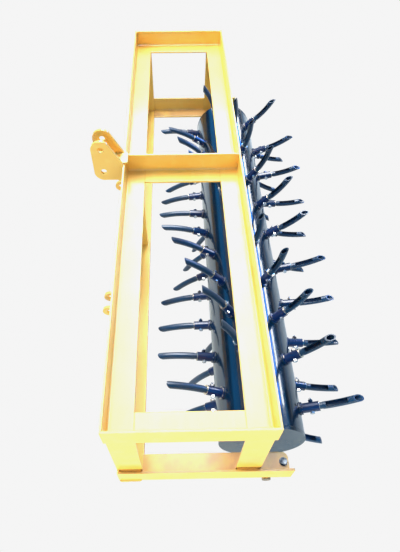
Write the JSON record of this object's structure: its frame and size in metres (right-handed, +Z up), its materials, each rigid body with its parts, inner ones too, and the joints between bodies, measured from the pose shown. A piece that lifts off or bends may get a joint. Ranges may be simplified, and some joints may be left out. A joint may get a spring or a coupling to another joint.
{
  "type": "drum core aerator",
  "caption": "Three-point-hitch core aerator: a drum with a spiral of curved hollow coring tines hangs in bearing blocks under an angle-iron frame with an open weight tray on top.",
  "frame": {"origin": "centre of the outline on the ground, under the lowest tine point", "axes": "+X to the rear of the machine, Y along the drum, +Z up; the hitch faces -X"},
  "size_m": [0.8441, 1.841, 0.8589],
  "materials": {
    "yellow_paint": "semi-gloss",
    "black_paint": "gloss",
    "zinc_steel": "zinc plated",
    "axle_steel": "weathered bare steel",
    "bearing_iron": "painted casting"
  },
  "bodies": {
    "frame": {"tray_front_rail": "yellow_paint", "tray_rear_rail": "yellow_paint", "tray_end_rail_left": "yellow_paint", "tray_end_rail_right": "yellow_paint", "tray_cross_member": "yellow_paint", "lower_front_rail": "yellow_paint", "lower_end_rail_left": "yellow_paint", "lower_end_rail_right": "yellow_paint", "upright_front_left": "yellow_paint", "upright_rear_left": "yellow_paint", "upright_front_right": "yellow_paint", "upright_rear_right": "yellow_paint", "upright_center": "yellow_paint", "top_link_plate_left": "yellow_paint", "top_link_plate_right": "yellow_paint", "top_link_tie_plate": "yellow_paint", "lower_link_lug_left_outer": "yellow_paint", "lower_link_lug_left_inner": "yellow_paint", "lower_link_lug_right_inner": "yellow_paint", "lower_link_lug_right_outer": "yellow_paint", "weld_beads_left": "yellow_paint", "weld_beads_right": "yellow_paint", "bearing_housing_left": "bearing_iron", "bearing_housing_right": "bearing_iron", "bearing_bolts_left": "zinc_steel", "bearing_bolts_right": "zinc_steel", "bearing_nuts_left": "zinc_steel", "bearing_nuts_right": "zinc_steel"},
    "drum": {"drum_shell": "black_paint", "drum_end_left": "black_paint", "drum_end_right": "black_paint", "axle": "axle_steel", "bearing_ring_left": "zinc_steel", "bearing_ring_right": "zinc_steel", "tine_sockets_row_1": "black_paint", "tine_sockets_row_2": "black_paint", "tine_sockets_row_3": "black_paint", "tine_sockets_row_4": "black_paint", "tine_sockets_row_5": "black_paint", "tine_sockets_row_6": "black_paint", "tines_row_1": "black_paint", "tines_row_2": "black_paint", "tines_row_3": "black_paint", "tines_row_4": "black_paint", "tines_row_5": "black_paint", "tines_row_6": "black_paint", "tine_bolts_row_1": "zinc_steel", "tine_bolts_row_2": "zinc_steel", "tine_bolts_row_3": "zinc_steel", "tine_bolts_row_4": "zinc_steel", "tine_bolts_row_5": "zinc_steel", "tine_bolts_row_6": "zinc_steel", "tine_nuts_row_1": "zinc_steel", "tine_nuts_row_2": "zinc_steel", "tine_nuts_row_3": "zinc_steel", "tine_nuts_row_4": "zinc_steel", "tine_nuts_row_5": "zinc_steel", "tine_nuts_row_6": "zinc_steel"}
  },
  "joints": [
    {"name": "drum_spin", "type": "hinge", "parent": "frame", "child": "drum", "pos_m": [0.0995, 0, 0.3225], "axis": [0, -1, 0], "continuous": true}
  ]
}
